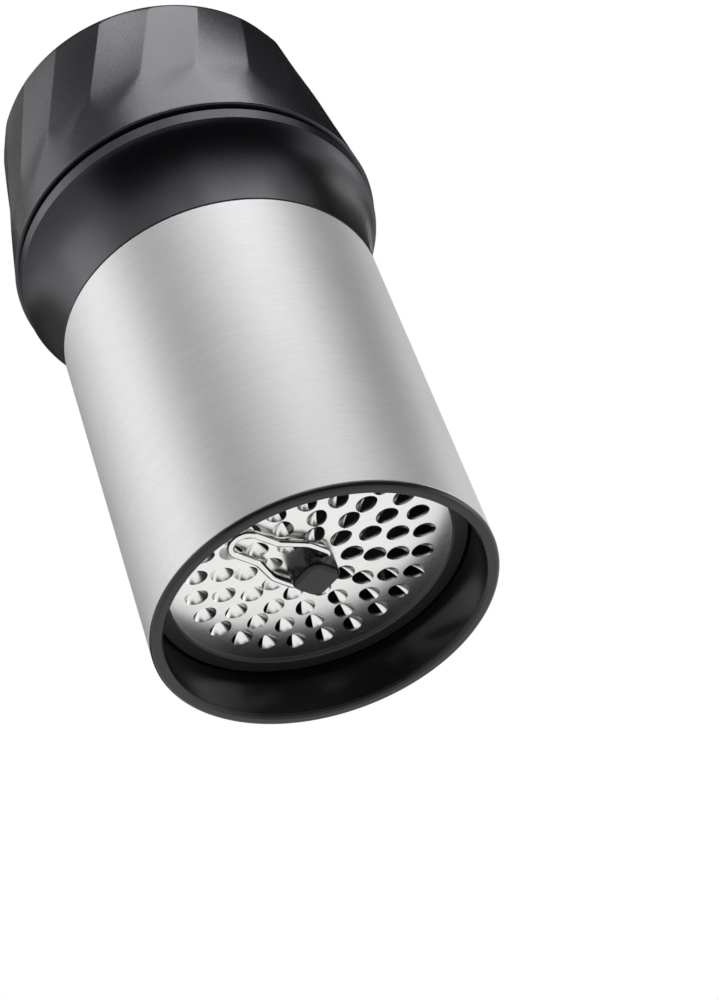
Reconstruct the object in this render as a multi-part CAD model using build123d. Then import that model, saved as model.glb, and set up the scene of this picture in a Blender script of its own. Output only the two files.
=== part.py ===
import math
import os

from build123d import *

os.makedirs("parts", exist_ok=True)

# All sizes in mm. Z runs along the axis, and z = 0 is the flat mouth the grater stands on.

# Clearances
FIT_GAP = 0.05
RUN_GAP = 0.06
SCREW_GAP = 0.10
SEAM_GAP = 0.20
FREE_GAP = 0.30
TURN_GAP = 0.75
STOP_GAP = 1.00
SEAL_TOUCH = 0.01

# Casing
SLEEVE_R = 30.0
SLEEVE_WALL = 0.8
SLEEVE_BOTTOM = 1.0
SLEEVE_TOP = 70.0
LINER_R = SLEEVE_R - SLEEVE_WALL - FIT_GAP
MOUTH_WALL = 1.3
MOUTH_BORE_R = LINER_R - MOUTH_WALL
CHAMBER_WALL = 2.35
CHAMBER_R = LINER_R - CHAMBER_WALL
SHOULDER_Z = 18.0
NECK_STEP = 0.75
NECK_R = LINER_R - NECK_STEP
NECK_HEIGHT = 16.0
NECK_TOP = SLEEVE_TOP + NECK_HEIGHT
MOUTH_ROUND = 0.5
MOUTH_BEVEL = 0.4
TONGUE_WALL = 0.5
TONGUE_R_IN = MOUTH_BORE_R + MOUTH_BEVEL
TONGUE_R_OUT = TONGUE_R_IN + TONGUE_WALL
TONGUE_HEIGHT = 2.9
TONGUE_TOP = SLEEVE_BOTTOM + TONGUE_HEIGHT
NOTCH_WIDTH = 7.0
NOTCH_DEPTH = 4.0
SEAL_GROOVE_HALF = 0.65
NECK_SEAL_SECTION_R = 0.46
NECK_SEAL_HEIGHT = 8.5
NECK_SEAL_Z = SLEEVE_TOP + NECK_SEAL_HEIGHT
NECK_GROOVE_R = NECK_R + FIT_GAP - 2 * (NECK_SEAL_SECTION_R + SEAL_TOUCH)

# Collar
COLLAR_BOTTOM = SLEEVE_TOP + SEAM_GAP
COLLAR_BORE_R = NECK_R + FIT_GAP
FLARE_WIDTH = 4.25
FLARE_HEIGHT = 17.4
FLARE_RISE = 8.8
FLARE_TURN_IN = 2.75
FLARE_TURN_DROP = 2.2
FLARE_END_R = SLEEVE_R + FLARE_WIDTH
FLARE_END_Z = COLLAR_BOTTOM + FLARE_HEIGHT
BAND_WIDTH = 0.1
BAND_HEIGHT = 2.6
COLLAR_RIM_R = FLARE_END_R + BAND_WIDTH
COLLAR_TOP = FLARE_END_Z + BAND_HEIGHT
LIP_STEP = 2.85
LIP_WALL = 1.5
LIP_HEIGHT = 1.9
LIP_R = COLLAR_RIM_R - LIP_STEP
LIP_TOP = COLLAR_TOP + LIP_HEIGHT
WEB_THICKNESS = 3.0
WEB_BOTTOM = NECK_TOP
WEB_TOP = WEB_BOTTOM + WEB_THICKNESS

# Plunger
PLUNGER_TRAVEL = 42.0
PLATE_GAP = 0.9
PLATE_R = CHAMBER_R - PLATE_GAP
PLATE_BOTTOM = SHOULDER_Z
PLATE_THICKNESS = 3.0
PLATE_TOP = PLATE_BOTTOM + PLATE_THICKNESS
PLATE_RIM = 1.5
PLATE_RIM_HEIGHT = 2.0
PLATE_RIB_WIDTH = 1.5
PLATE_RIB_COUNT = 6
STEM_R = 6.5
STEM_FLAT_DEPTH = 0.7
STEM_FLAT = STEM_R - STEM_FLAT_DEPTH
STEM_WALL = 0.8
STEM_BORE_R = STEM_FLAT - STEM_WALL
STEM_FLOOR = 6.0
STEM_FLOOR_TOP = PLATE_TOP + STEM_FLOOR
STEM_FOOT_R = 9.0
STEM_FOOT = 3.0
STEM_GROOVE_DEPTH = 0.6
STEM_GROOVE_R = STEM_R - STEM_GROOVE_DEPTH
STEM_CLIP_THICKNESS = 1.0
STEM_END = 2.0
PRONG_R = 0.8
PRONG_POINT_R = 0.15
PRONG_LENGTH = 3.8
PRONG_TIP = PLATE_BOTTOM - PRONG_LENGTH
PRONG_CONE = 2.0
PRONG_SEAT = 2.4
PRONG_RING_R = (20.0, 11.5)
PRONG_RING_COUNT = (6, 3)
PRONG_RING_START_ANGLE = (0.0, 30.0)
PRONG_RINGS = list(zip(PRONG_RING_R, PRONG_RING_COUNT, PRONG_RING_START_ANGLE))
PLATE_SCREW_R = 1.45
PLATE_SCREW_HEAD_R = 3.0
PLATE_SCREW_HEAD = 1.9
PLATE_SCREW_REACH = 5.2
PLATE_SCREW_TIP = PLATE_TOP + PLATE_SCREW_REACH
SPRING_WIRE_R = 0.45
SPRING_SIDE_GAP = 0.25
SPRING_MEAN_R = STEM_BORE_R - SPRING_SIDE_GAP - SPRING_WIRE_R
SPRING_TURNS = 22

# Drive tube
STEM_SIDE_GAP = 1.3
TUBE_BORE_R = STEM_R + STEM_SIDE_GAP
TUBE_WALL = 1.2
TUBE_R = TUBE_BORE_R + TUBE_WALL
GUIDE_LENGTH = 7.9
TUBE_BOTTOM = PLATE_TOP + STEM_FOOT + PLUNGER_TRAVEL + STOP_GAP
GUIDE_TOP = TUBE_BOTTOM + GUIDE_LENGTH
STEM_CLIP_R = TUBE_BORE_R - FREE_GAP
STEM_CLIP_BOTTOM = GUIDE_TOP + SCREW_GAP
STEM_CLIP_TOP = STEM_CLIP_BOTTOM + STEM_CLIP_THICKNESS
STEM_TOP = STEM_CLIP_TOP + STEM_END
SPRING_GUIDE_FLANGE = 1.5
SPRING_GUIDE_SPIGOT = 3.0
SPRING_GUIDE_PIN = 16.0
SPRING_GUIDE_PIN_R = SPRING_MEAN_R - SPRING_WIRE_R - 2 * SPRING_SIDE_GAP
TUBE_TOP = STEM_TOP + PLUNGER_TRAVEL + STOP_GAP + SPRING_GUIDE_SPIGOT
WASHER_THICKNESS = 1.0
FLANGE_R = 20.0
FLANGE_THICKNESS = 2.6
FLANGE_BOTTOM = WEB_TOP + WASHER_THICKNESS
FLANGE_TOP = FLANGE_BOTTOM + FLANGE_THICKNESS
BUSH_WALL = 3.0
BUSH_R = TUBE_R + BUSH_WALL
BUSH_FLANGE_STEP = 2.0
BUSH_FLANGE_R = BUSH_R + BUSH_FLANGE_STEP
BUSH_FLANGE = 1.1
WASHER_LAP = 1.0
WASHER_R = BUSH_R + WASHER_LAP
CLIP_GROOVE_DEPTH = 0.6
CLIP_GROOVE_R = TUBE_R - CLIP_GROOVE_DEPTH
CLIP_STEP = 2.0
CLIP_R = TUBE_R + CLIP_STEP
CLIP_THICKNESS = 1.0
CLIP_TOP = WEB_BOTTOM - BUSH_FLANGE - FREE_GAP

# Knob
KNOB_STEP = 0.6
KNOB_R = COLLAR_RIM_R + KNOB_STEP
KNOB_HEIGHT = 39.05
KNOB_BOTTOM = COLLAR_TOP + TURN_GAP
KNOB_TOP = KNOB_BOTTOM + KNOB_HEIGHT
KNOB_TAPER = 0.12
KNOB_ROUND = 3.8
KNOB_WALL = 2.4
KNOB_ROOF = 3.0
KNOB_CEILING = KNOB_TOP - KNOB_ROOF
FACET_COUNT = 20
FACET_ANGLE = 6.1
FACET_TWIST = 0.5
FACET_SHARP_DEPTH = 24.0
FACET_FADE_DEPTH = 31.0
FACET_LEAD = 6.7
FACET_LEAD_OUT = 1.0
FACET_SHARP_Z = KNOB_TOP - FACET_SHARP_DEPTH
FACET_FADE_Z = KNOB_TOP - FACET_FADE_DEPTH
FACET_LOW_Z = FACET_FADE_Z - FACET_LEAD
FACET_HIGH_Z = KNOB_TOP + FACET_LEAD_OUT
FACET_SECTIONS = 4
SOCKET_WALL = 3.0
SOCKET_R = TUBE_R + SOCKET_WALL
SOCKET_DEPTH = 17.0
SOCKET_BOTTOM = TUBE_TOP - SOCKET_DEPTH
BOSS_CIRCLE_R = 16.0
BOSS_R = 3.4
KNOB_SCREW_COUNT = 3
KNOB_SCREW_START_ANGLE = 90.0
KNOB_SCREW_R = 1.45
KNOB_SCREW_HEAD_R = 2.6
KNOB_SCREW_HEAD = 1.2
KNOB_SCREW_REACH = 11.4
KNOB_SCREW_TIP = FLANGE_TOP + KNOB_SCREW_REACH
RIB_WIDTH = 1.8

# Grating insert
CARRIER_R = MOUTH_BORE_R - RUN_GAP
CARRIER_WALL = 1.74
DISC_R = CARRIER_R - CARRIER_WALL - FIT_GAP
DISC_BOTTOM = 10.7
DISC_THICKNESS = 0.6
DISC_TOP = DISC_BOTTOM + DISC_THICKNESS
CARRIER_LIP = 0.5
CARRIER_LIP_LAND = 0.2
CARRIER_LIP_COVER = 1.2
CARRIER_LIP_R = DISC_R - CARRIER_LIP_COVER
CARRIER_BOTTOM = DISC_BOTTOM - CARRIER_LIP
CARRIER_BEVEL = CARRIER_LIP - CARRIER_LIP_LAND
INSERT_SEAL_SECTION_R = 0.43
INSERT_SEAL_HEIGHT = 3.25
INSERT_SEAL_Z = DISC_TOP + INSERT_SEAL_HEIGHT
INSERT_GROOVE_R = MOUTH_BORE_R - 2 * (INSERT_SEAL_SECTION_R + SEAL_TOUCH)
CLAMP_WALL = 1.3
CLAMP_R_IN = DISC_R - CLAMP_WALL
CLAMP_INSET = 1.5
CLAMP_TOP = SHOULDER_Z - CLAMP_INSET
CLAMP_NOTCH = 3.0
TOOTH_RING_R = (20.0, 15.5, 11.3, 7.2)
TOOTH_RING_COUNT = (24, 18, 12, 9)
TOOTH_RING_START_ANGLE = (-5.0, -35.0, -37.0, 14.0)
TOOTH_RINGS = list(zip(TOOTH_RING_R, TOOTH_RING_COUNT, TOOTH_RING_START_ANGLE))
TOOTH_OUTER_R = 2.25
TOOTH_INNER_R = 1.80
TOOTH_CENTRE_DEPTH = 0.70
TOOTH_EDGE = 0.15
TOOTH_HOLE_FRONT = 1.30
HUB_SIDE = 7.0
HUB_HEIGHT = 4.0
HUB_BOTTOM = DISC_BOTTOM - HUB_HEIGHT
HUB_CORNER = 1.2
HUB_BEVEL = 0.4
HUB_SCREW_R = 1.2
HUB_SCREW_REACH = 2.9
HUB_SCREW_TIP = DISC_BOTTOM - HUB_SCREW_REACH
HUB_WASHER_R = 3.6
HUB_WASHER = 0.6
HUB_SCREW_HEAD_R = 2.6
HUB_SCREW_HEAD = 1.5

# Folding bail
BAIL_AZIMUTH = -123.0
BAIL_WIRE_R = 0.7
BAIL_DISC_GAP = 0.4
BAIL_Z = DISC_BOTTOM - BAIL_DISC_GAP - BAIL_WIRE_R
BAIL_PIN_DEPTH = 1.8
BAIL_LEG_U = HUB_SIDE / 2 + BAIL_WIRE_R + FREE_GAP
BAIL_LEG_D = 5.2
BAIL_NECK_U = 2.6
BAIL_NECK_D = 10.2
BAIL_LENGTH = 17.6
BAIL_BEND_R = 0.9
BAIL_SWEEP_R = 4.0


def ring(r_out, r_in, z_low, z_high):
    """Plain ring about the axis."""
    return Pos(0, 0, z_low) * extrude(Circle(r_out) - Circle(r_in), z_high - z_low)


def rod(radius, z_low, z_high):
    """Plain cylinder about the axis."""
    return Pos(0, 0, z_low) * extrude(Circle(radius), z_high - z_low)


def turned(points):
    """Solid of revolution from a closed outline of (radius, z) points."""
    outline = Polyline(*points, close=True)
    return revolve(Plane.XZ * make_face(outline), Axis.Z)


def torus_ring(centre_r, section_r, z):
    """Round-section ring about the axis."""
    return Pos(0, 0, z) * Torus(centre_r, section_r)


def around(shape, radius, count, start):
    """Copies of a shape set at a radius about the axis, each turned to face outward."""
    copies = []
    for index in range(count):
        copies.append(Rot(0, 0, start + 360.0 * index / count) * Pos(radius, 0, 0) * shape)
    return copies


def knob_radius(z):
    """Outer radius of the knob cone at height z."""
    return KNOB_R - KNOB_TAPER * (z - KNOB_BOTTOM)


def rounded_path(points, radii):
    """Line through plane points whose inner corners are rounded with the given radii."""
    start = Vector(*points[0])
    edges = []
    for before, corner, after, radius in zip(points, points[1:], points[2:], radii):
        here = Vector(*corner)
        back = (Vector(*before) - here).normalized()
        ahead = (Vector(*after) - here).normalized()
        half = math.acos(max(-1.0, min(1.0, back.dot(ahead)))) / 2
        reach = radius / math.tan(half)
        arc_start = here + back * reach
        arc_end = here + ahead * reach
        middle = here + (back + ahead).normalized() * (radius / math.sin(half) - radius)
        edges.append(Line(start, arc_start))
        edges.append(ThreePointArc(arc_start, middle, arc_end))
        start = arc_end
    edges.append(Line(start, Vector(*points[-1])))
    return Wire(edges)


# Casing pieces


def outer_sleeve():
    """Brushed steel tube held in the hand."""
    return ring(SLEEVE_R, SLEEVE_R - SLEEVE_WALL, SLEEVE_BOTTOM, SLEEVE_TOP)


def inner_liner():
    """Food-safe tube inside the sleeve, with the insert bore below and the neck above."""
    tube = turned(
        [
            (MOUTH_BORE_R, SLEEVE_BOTTOM),
            (LINER_R, SLEEVE_BOTTOM),
            (LINER_R, SLEEVE_TOP),
            (NECK_R, SLEEVE_TOP),
            (NECK_R, NECK_TOP),
            (CHAMBER_R, NECK_TOP),
            (CHAMBER_R, SHOULDER_Z),
            (MOUTH_BORE_R, SHOULDER_Z),
        ]
    )
    tongue_groove = ring(
        TONGUE_R_OUT + FIT_GAP, TONGUE_R_IN - FIT_GAP, SLEEVE_BOTTOM, TONGUE_TOP + SCREW_GAP
    )
    seal_groove = ring(
        NECK_R + 1, NECK_GROOVE_R, NECK_SEAL_Z - SEAL_GROOVE_HALF, NECK_SEAL_Z + SEAL_GROOVE_HALF
    )
    notches = Pos(0, 0, NECK_TOP) * Box(2 * SLEEVE_R, NOTCH_WIDTH, 2 * NOTCH_DEPTH)
    return tube - tongue_groove - seal_groove - notches


def mouth_ring():
    """Rounded end ring welded to the liner, covering the lower edge of the sleeve."""
    flange = turned(
        [
            (MOUTH_BORE_R, MOUTH_BEVEL),
            (MOUTH_BORE_R + MOUTH_BEVEL, 0),
            (SLEEVE_R, 0),
            (SLEEVE_R, SLEEVE_BOTTOM),
            (MOUTH_BORE_R, SLEEVE_BOTTOM),
        ]
    )
    outer_edge = flange.edges().filter_by(GeomType.CIRCLE).filter_by_position(Axis.Z, -0.01, 0.01)
    flange = fillet(outer_edge.sort_by(SortBy.RADIUS)[-1:], MOUTH_ROUND)
    return flange + ring(TONGUE_R_OUT, TONGUE_R_IN, SLEEVE_BOTTOM - 0.2, TONGUE_TOP)


def collar_seal():
    """O-ring in the neck that grips the collar."""
    return torus_ring(NECK_GROOVE_R + SEAL_TOUCH + NECK_SEAL_SECTION_R, NECK_SEAL_SECTION_R, NECK_SEAL_Z)


# Head pieces


def collar():
    """Flared ring that caps the neck, carries the knob bearing and reaches a lip into the knob."""
    flare = Bezier(
        (SLEEVE_R, COLLAR_BOTTOM),
        (SLEEVE_R, COLLAR_BOTTOM + FLARE_RISE),
        (FLARE_END_R - FLARE_TURN_IN, FLARE_END_Z - FLARE_TURN_DROP),
        (FLARE_END_R, FLARE_END_Z),
    )
    rest = Polyline(
        (FLARE_END_R, FLARE_END_Z),
        (COLLAR_RIM_R, COLLAR_TOP),
        (LIP_R, COLLAR_TOP),
        (LIP_R, LIP_TOP),
        (LIP_R - LIP_WALL, LIP_TOP),
        (LIP_R - LIP_WALL, WEB_TOP),
        (BUSH_R, WEB_TOP),
        (BUSH_R, WEB_BOTTOM),
        (COLLAR_BORE_R, WEB_BOTTOM),
        (COLLAR_BORE_R, COLLAR_BOTTOM),
        (SLEEVE_R, COLLAR_BOTTOM),
    )
    body = revolve(Plane.XZ * make_face([flare, rest]), Axis.Z)
    key_low = WEB_BOTTOM - NOTCH_DEPTH + FREE_GAP
    key_ring = ring(COLLAR_BORE_R + 0.5, CHAMBER_R + 0.1, key_low, WEB_BOTTOM + 0.5)
    keys = key_ring & Box(2 * COLLAR_RIM_R, NOTCH_WIDTH - 2 * SCREW_GAP, 4 * COLLAR_TOP)
    return body + keys


def collar_bush():
    """Flanged plain bearing pressed into the collar web from below."""
    sleeve = ring(BUSH_R - FIT_GAP, TUBE_R + RUN_GAP, WEB_BOTTOM - BUSH_FLANGE, WEB_TOP)
    flange = ring(BUSH_FLANGE_R, TUBE_R + RUN_GAP, WEB_BOTTOM - BUSH_FLANGE, WEB_BOTTOM)
    return sleeve + flange


def thrust_washer():
    """Slippery washer that the drive tube flange turns on."""
    return ring(WASHER_R, TUBE_R + FREE_GAP, WEB_TOP, FLANGE_BOTTOM)


# Knob pieces


def knob_cone(offset, z_low, z_high):
    """Plain cone with the knob's taper, drawn in by an offset."""
    return turned(
        [
            (0, z_low),
            (knob_radius(z_low) - offset, z_low),
            (knob_radius(z_high) - offset, z_high),
            (0, z_high),
        ]
    )


def facet_radius(z):
    """Corner radius of the flats: on the cone where they meet, clear of it below where they fade."""
    share = min(1.0, (z - FACET_FADE_Z) / (FACET_SHARP_Z - FACET_FADE_Z))
    clear = 1 / math.cos(math.pi / FACET_COUNT)
    return knob_radius(z) * (clear + share * (1 - clear))


def facet_prism():
    """Twisted many-sided block whose flats cut the upper part of the knob."""
    heights = [FACET_LOW_Z]
    for index in range(FACET_SECTIONS):
        share = index / (FACET_SECTIONS - 1)
        heights.append(FACET_SHARP_Z + share * (FACET_HIGH_Z - FACET_SHARP_Z))
    sections = []
    for z in heights:
        angle = FACET_ANGLE + FACET_TWIST * (z - FACET_SHARP_Z)
        sections.append(Pos(0, 0, z) * RegularPolygon(facet_radius(z), FACET_COUNT, rotation=angle))
    return loft(sections, ruled=True)


def knob_shell():
    """Hollow turning knob with slanted flats, an inner socket and screw bosses."""
    cone = knob_cone(0, KNOB_BOTTOM, KNOB_TOP)
    top_edge = cone.edges().filter_by(GeomType.CIRCLE).sort_by(Axis.Z)[-1:]
    cone = fillet(top_edge, KNOB_ROUND)
    around_flats = rod(2 * KNOB_R, FACET_LOW_Z, FACET_HIGH_Z) - facet_prism()
    shell = cone - around_flats - knob_cone(KNOB_WALL, KNOB_BOTTOM, KNOB_CEILING)
    inside = knob_cone(KNOB_WALL - 0.2, FLANGE_TOP, KNOB_CEILING + 0.2)
    socket = rod(SOCKET_R, SOCKET_BOTTOM, KNOB_CEILING + 0.2)
    boss = rod(BOSS_R, FLANGE_TOP, KNOB_CEILING + 0.2)
    rib_length = KNOB_R - SOCKET_R
    rib = Pos(SOCKET_R + rib_length / 2, 0, (SOCKET_BOTTOM + KNOB_TOP) / 2) * Box(
        rib_length + 1, RIB_WIDTH, KNOB_TOP - SOCKET_BOTTOM
    )
    shell += [socket]
    shell += around(boss, BOSS_CIRCLE_R, KNOB_SCREW_COUNT, KNOB_SCREW_START_ANGLE)
    shell += [rib_copy & inside for rib_copy in around(rib, 0, KNOB_SCREW_COUNT, KNOB_SCREW_START_ANGLE)]
    socket_end = TUBE_TOP + SPRING_GUIDE_FLANGE
    shell -= rod(TUBE_R + FIT_GAP, SOCKET_BOTTOM - 1, socket_end)
    pilot = rod(KNOB_SCREW_R + FIT_GAP, FLANGE_TOP - 1, KNOB_SCREW_TIP + 1)
    shell -= around(pilot, BOSS_CIRCLE_R, KNOB_SCREW_COUNT, KNOB_SCREW_START_ANGLE)
    return shell


def stem_section(gap):
    """Round section with two flats that keys the plunger stem to the drive tube."""
    return Circle(STEM_R + gap) & Rectangle(2 * (STEM_FLAT + gap), 4 * STEM_R)


def countersink(gap):
    """Screw head cone that sits flush in the underside of the drive tube flange."""
    return turned(
        [
            (0, FLANGE_BOTTOM),
            (KNOB_SCREW_HEAD_R + gap, FLANGE_BOTTOM),
            (KNOB_SCREW_R + gap, FLANGE_BOTTOM + KNOB_SCREW_HEAD),
            (0, FLANGE_BOTTOM + KNOB_SCREW_HEAD),
        ]
    )


def drive_tube():
    """Flanged tube that turns with the knob and guides the plunger stem."""
    tube = rod(TUBE_R, TUBE_BOTTOM, TUBE_TOP) + rod(FLANGE_R, FLANGE_BOTTOM, FLANGE_TOP)
    tube -= rod(TUBE_BORE_R, GUIDE_TOP, TUBE_TOP + 1)
    tube -= Pos(0, 0, TUBE_BOTTOM - 1) * extrude(stem_section(RUN_GAP), GUIDE_TOP - TUBE_BOTTOM + 2)
    tube -= ring(TUBE_R + 1, CLIP_GROOVE_R, CLIP_TOP - CLIP_THICKNESS, CLIP_TOP)
    hole = rod(KNOB_SCREW_R + SCREW_GAP, FLANGE_BOTTOM - 1, FLANGE_TOP + 1) + countersink(SCREW_GAP)
    tube -= around(hole, BOSS_CIRCLE_R, KNOB_SCREW_COUNT, KNOB_SCREW_START_ANGLE)
    return tube


def retaining_clip():
    """Split ring in the drive tube groove, under the bearing."""
    clip = ring(CLIP_R, CLIP_GROOVE_R + FIT_GAP, CLIP_TOP - CLIP_THICKNESS, CLIP_TOP)
    mouth = Pos(CLIP_R, 0, CLIP_TOP) * Box(2 * CLIP_R, 1.6 * TUBE_R, 4 * CLIP_THICKNESS)
    return clip - mouth


def knob_screws():
    """Countersunk screws through the flange into the knob bosses."""
    slot = Pos(0, 0, FLANGE_BOTTOM) * Box(2 * KNOB_SCREW_HEAD_R, 0.7, 1.0)
    screw = countersink(0) + rod(KNOB_SCREW_R, FLANGE_BOTTOM + 0.5, KNOB_SCREW_TIP) - slot
    return Compound(children=around(screw, BOSS_CIRCLE_R, KNOB_SCREW_COUNT, KNOB_SCREW_START_ANGLE))


def spring_guide():
    """Turned plug between the drive tube end and the knob, with a pin inside the spring."""
    flange = rod(TUBE_R - FIT_GAP, TUBE_TOP, TUBE_TOP + SPRING_GUIDE_FLANGE)
    spigot = rod(TUBE_BORE_R - FIT_GAP, TUBE_TOP - SPRING_GUIDE_SPIGOT, TUBE_TOP)
    pin_low = TUBE_TOP - SPRING_GUIDE_SPIGOT - SPRING_GUIDE_PIN
    pin = rod(SPRING_GUIDE_PIN_R, pin_low, TUBE_TOP - SPRING_GUIDE_SPIGOT)
    tip = pin.edges().filter_by(GeomType.CIRCLE).sort_by(Axis.Z)[:1]
    pin = chamfer(tip, 1.0)
    return flange + spigot + pin


# Plunger pieces


def plunger_stem():
    """Hollow keyed stem with a foot for the pressure plate and a floor for the spring."""
    stem = Pos(0, 0, PLATE_TOP) * extrude(stem_section(0), STEM_TOP - PLATE_TOP)
    stem += rod(STEM_FOOT_R, PLATE_TOP, PLATE_TOP + STEM_FOOT)
    stem -= rod(STEM_BORE_R, STEM_FLOOR_TOP, STEM_TOP + 1)
    stem -= rod(PLATE_SCREW_R + FIT_GAP, PLATE_TOP - 1, STEM_FLOOR_TOP + 1)
    stem -= ring(STEM_R + 1, STEM_GROOVE_R, STEM_CLIP_BOTTOM, STEM_CLIP_TOP)
    return stem


def stem_clip():
    """Stop ring on the stem that rests on the drive tube ledge."""
    return ring(STEM_CLIP_R, STEM_GROOVE_R + FIT_GAP, STEM_CLIP_BOTTOM, STEM_CLIP_TOP)


def pressure_plate():
    """Ribbed disc that presses the cheese onto the grating disc."""
    plate = rod(PLATE_R, PLATE_BOTTOM, PLATE_TOP)
    plate += ring(PLATE_R, PLATE_R - PLATE_RIM, PLATE_TOP - 0.2, PLATE_TOP + PLATE_RIM_HEIGHT)
    rib_start = STEM_FOOT_R + 1
    rib_length = PLATE_R - PLATE_RIM / 2 - rib_start
    rib = Pos(rib_start + rib_length / 2, 0, PLATE_TOP + PLATE_RIM_HEIGHT / 2 - 0.1) * Box(
        rib_length, PLATE_RIB_WIDTH, PLATE_RIM_HEIGHT + 0.2
    )
    plate += around(rib, 0, PLATE_RIB_COUNT, 0)
    plate -= rod(PLATE_SCREW_R + SCREW_GAP, PLATE_BOTTOM - 1, PLATE_TOP + 1)
    plate -= rod(PLATE_SCREW_HEAD_R + SCREW_GAP, PLATE_BOTTOM - 1, PLATE_BOTTOM + PLATE_SCREW_HEAD)
    socket = rod(PRONG_R + FIT_GAP, PLATE_BOTTOM - 1, PLATE_BOTTOM + PRONG_SEAT)
    for radius, count, start in PRONG_RINGS:
        plate -= around(socket, radius, count, start)
    return plate


def plate_prongs():
    """Pointed pins under the plate that grip and turn the cheese."""
    prong = turned(
        [
            (0, PRONG_TIP),
            (PRONG_POINT_R, PRONG_TIP),
            (PRONG_R, PRONG_TIP + PRONG_CONE),
            (PRONG_R, PLATE_BOTTOM + PRONG_SEAT),
            (0, PLATE_BOTTOM + PRONG_SEAT),
        ]
    )
    prongs = []
    for radius, count, start in PRONG_RINGS:
        prongs += around(prong, radius, count, start)
    return Compound(children=prongs)


def plate_screw():
    """Screw that holds the pressure plate to the stem."""
    head_low = PLATE_BOTTOM + 0.1
    head = rod(PLATE_SCREW_HEAD_R, head_low, PLATE_BOTTOM + PLATE_SCREW_HEAD)
    slot = Pos(0, 0, head_low) * Box(2 * PLATE_SCREW_HEAD_R, 0.8, 1.4)
    return head - slot + rod(PLATE_SCREW_R, PLATE_BOTTOM + PLATE_SCREW_HEAD - 0.2, PLATE_SCREW_TIP)


def pressure_spring():
    """Compression spring from the stem floor to the spring guide."""
    low = STEM_FLOOR_TOP + SPRING_WIRE_R
    height = TUBE_TOP - SPRING_GUIDE_SPIGOT - SPRING_WIRE_R - low
    path = Pos(0, 0, low) * Helix(height / SPRING_TURNS, height, SPRING_MEAN_R)
    section = Plane(path @ 0, z_dir=path % 0) * Circle(SPRING_WIRE_R)
    return sweep(section, path=path, is_frenet=True)


# Grating insert pieces


def disc_carrier():
    """Holder ring that slides into the mouth and stops on the liner shoulder."""
    body = turned(
        [
            (CARRIER_LIP_R, DISC_BOTTOM - CARRIER_LIP_LAND),
            (CARRIER_LIP_R + CARRIER_BEVEL, CARRIER_BOTTOM),
            (CARRIER_R - CARRIER_BEVEL, CARRIER_BOTTOM),
            (CARRIER_R, CARRIER_BOTTOM + CARRIER_BEVEL),
            (CARRIER_R, SHOULDER_Z),
            (DISC_R + FIT_GAP, SHOULDER_Z),
            (DISC_R + FIT_GAP, DISC_BOTTOM),
            (CARRIER_LIP_R, DISC_BOTTOM),
        ]
    )
    groove = ring(
        CARRIER_R + 1, INSERT_GROOVE_R, INSERT_SEAL_Z - SEAL_GROOVE_HALF, INSERT_SEAL_Z + SEAL_GROOVE_HALF
    )
    return body - groove


def carrier_seal():
    """O-ring that holds the insert in the mouth by friction."""
    return torus_ring(
        INSERT_GROOVE_R + SEAL_TOUCH + INSERT_SEAL_SECTION_R, INSERT_SEAL_SECTION_R, INSERT_SEAL_Z
    )


def grater_disc():
    """Steel disc with rings of scoop teeth that open along the turning direction."""
    disc = rod(DISC_R, DISC_BOTTOM, DISC_TOP)
    disc -= rod(HUB_SCREW_R + SCREW_GAP, DISC_BOTTOM - 1, DISC_TOP + 1)
    centre = Pos(0, 0, DISC_TOP - TOOTH_CENTRE_DEPTH)
    inner = centre * Sphere(TOOTH_INNER_R)
    side = 4 * TOOTH_OUTER_R
    behind_front = Pos(0, TOOTH_HOLE_FRONT - side / 2, DISC_BOTTOM) * Box(side, side, side)
    hood_root = DISC_TOP - DISC_THICKNESS / 2
    behind_edge = Pos(0, TOOTH_EDGE - side / 2, hood_root + side / 2) * Box(side, side, side)
    pit = inner & behind_front
    hood = (centre * Sphere(TOOTH_OUTER_R) - inner) & behind_edge
    pits = []
    hoods = []
    for radius, count, start in TOOTH_RINGS:
        pits += around(pit, radius, count, start)
        hoods += around(hood, radius, count, start)
    return disc - pits + hoods


def disc_clamp_ring():
    """Ring pressed into the carrier above the disc, with two notches for a key."""
    clamp = ring(DISC_R, CLAMP_R_IN, DISC_TOP, CLAMP_TOP)
    return clamp - Pos(0, 0, CLAMP_TOP) * Box(3 * DISC_R, CLAMP_NOTCH, CLAMP_NOTCH)


def disc_hub():
    """Block under the disc centre that carries the bail."""
    side = Rectangle(HUB_SIDE, HUB_SIDE)
    block = extrude(fillet(side.vertices(), HUB_CORNER), DISC_BOTTOM - HUB_BOTTOM)
    block = Pos(0, 0, HUB_BOTTOM) * block
    block = chamfer(block.faces().sort_by(Axis.Z)[0].edges(), HUB_BEVEL)
    block -= rod(HUB_SCREW_R + FIT_GAP, HUB_SCREW_TIP - 0.2, DISC_BOTTOM + 1)
    pin_start = HUB_SIDE / 2 - BAIL_PIN_DEPTH - SCREW_GAP
    for way in (-1, 1):
        hole = Pos(way * (pin_start + HUB_SIDE / 2), 0, BAIL_Z) * Rot(0, 90, 0)
        block -= hole * Cylinder(BAIL_WIRE_R + RUN_GAP, HUB_SIDE)
    return Rot(0, 0, BAIL_AZIMUTH + 90) * block


def hub_washer():
    """Washer between the hub screw and the disc."""
    return ring(HUB_WASHER_R, HUB_SCREW_R + SCREW_GAP, DISC_TOP, DISC_TOP + HUB_WASHER)


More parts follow.
